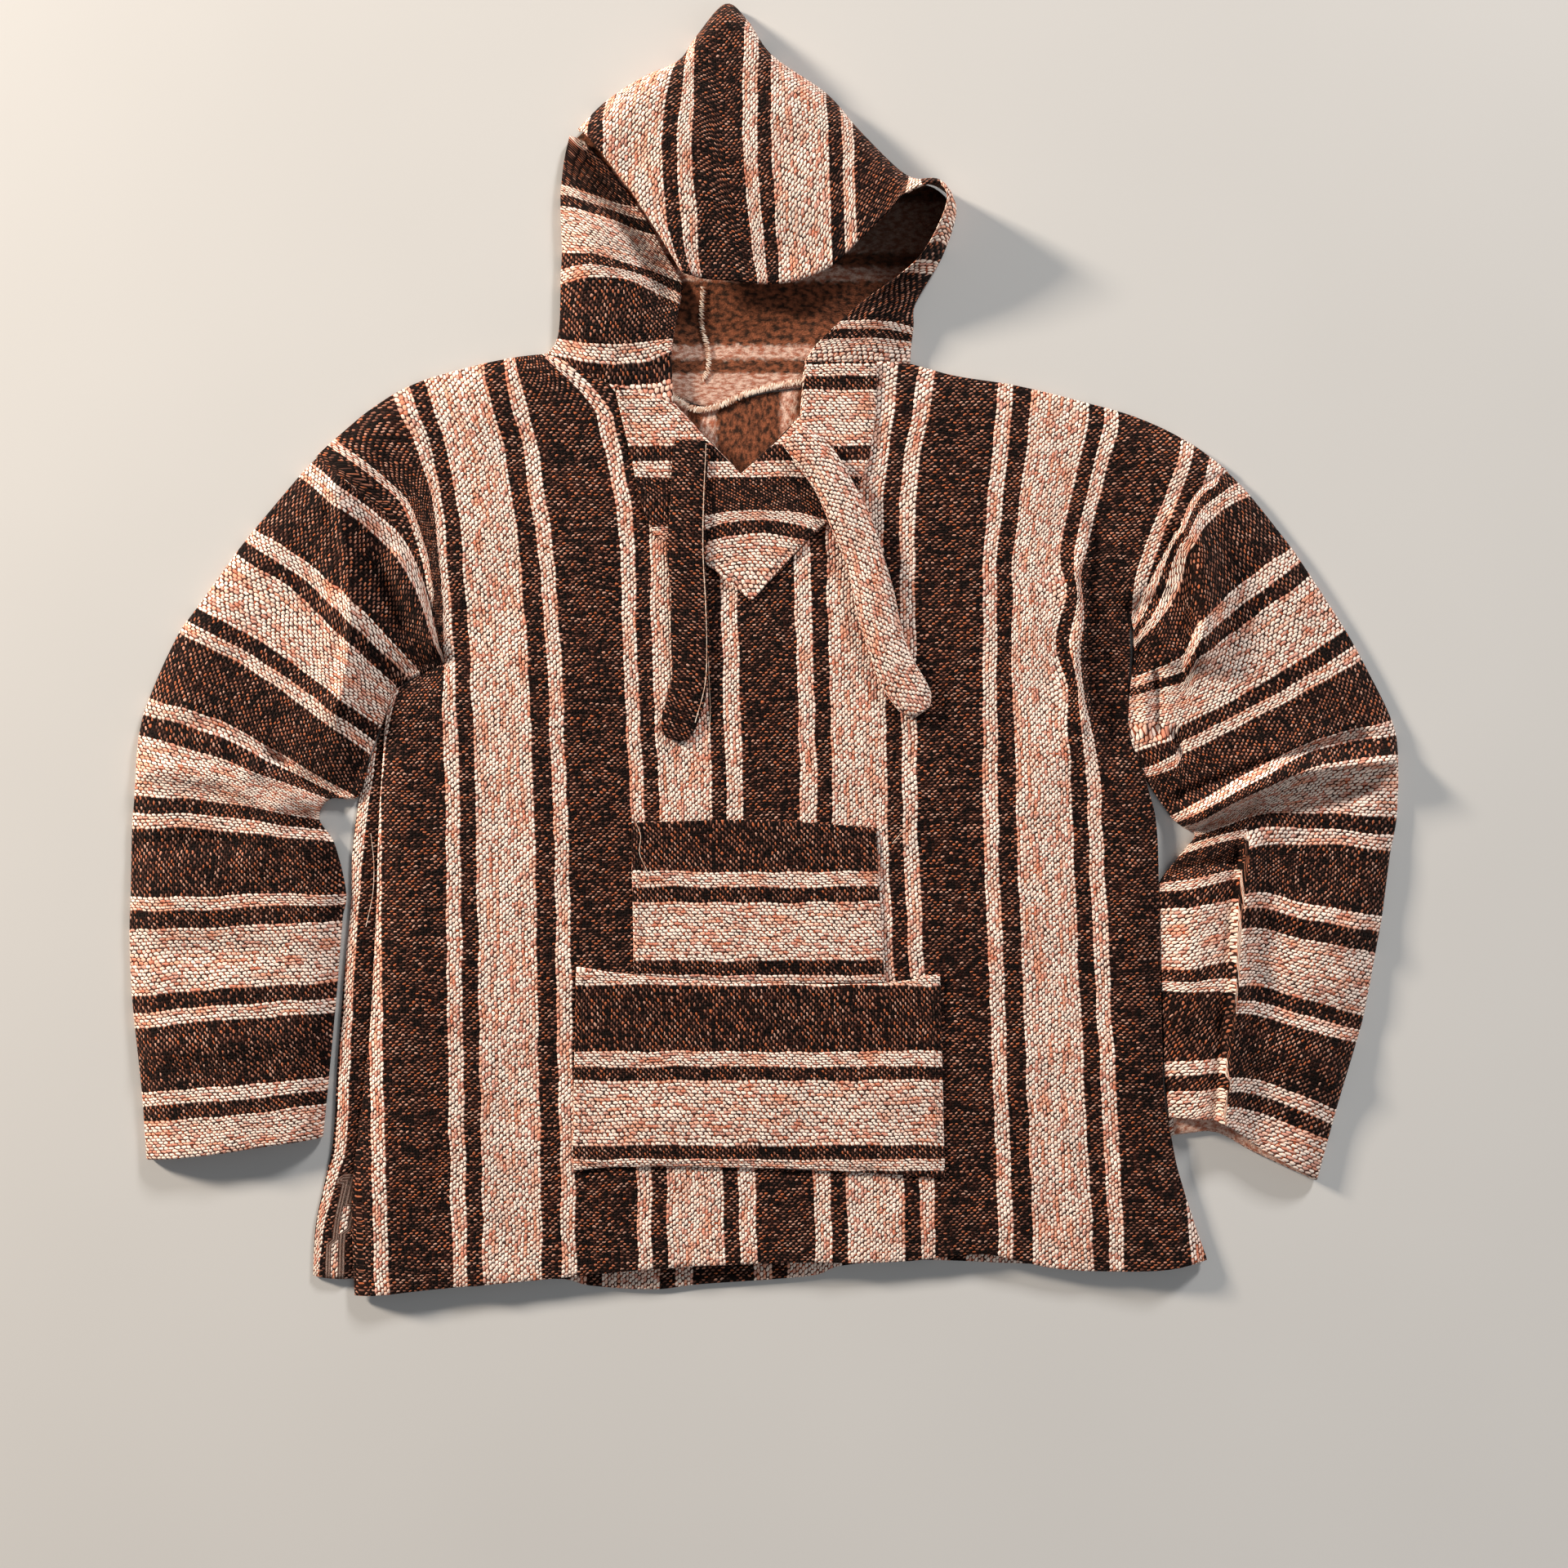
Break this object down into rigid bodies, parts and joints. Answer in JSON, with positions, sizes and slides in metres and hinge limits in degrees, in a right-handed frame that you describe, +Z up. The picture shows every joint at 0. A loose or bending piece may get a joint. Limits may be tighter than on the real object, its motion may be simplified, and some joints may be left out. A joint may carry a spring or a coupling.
{
  "type": "hooded woven pullover",
  "caption": "Hooded pullover of thick striped woven cloth, laid flat on its back, with a front slit, neck ties and a front pouch.",
  "frame": {"origin": "under the middle of the garment's outline, on the surface it lies on", "axes": "+X to the right as seen from above, +Y from the hem to the hood, +Z up, out of the front panel"},
  "size_m": [1.0379, 1.0534, 0.042],
  "materials": {
    "woven_cloth": "coarse weave, wide dark and light stripes",
    "light_cloth": "coarse weave, cream with rust flecks",
    "dark_cloth": "coarse weave, black-brown with rust flecks"
  },
  "bodies": {
    "root": {"back": "woven_cloth", "front": "woven_cloth", "sleeve_left": "woven_cloth", "sleeve_right": "woven_cloth", "hood_under": "woven_cloth", "hood_crown": "woven_cloth", "hood_side_left": "woven_cloth", "neck_patch": "woven_cloth", "tie_left": "dark_cloth", "tie_right": "light_cloth", "pocket_upper": "woven_cloth", "pocket_lower": "woven_cloth"}
  },
  "joints": []
}
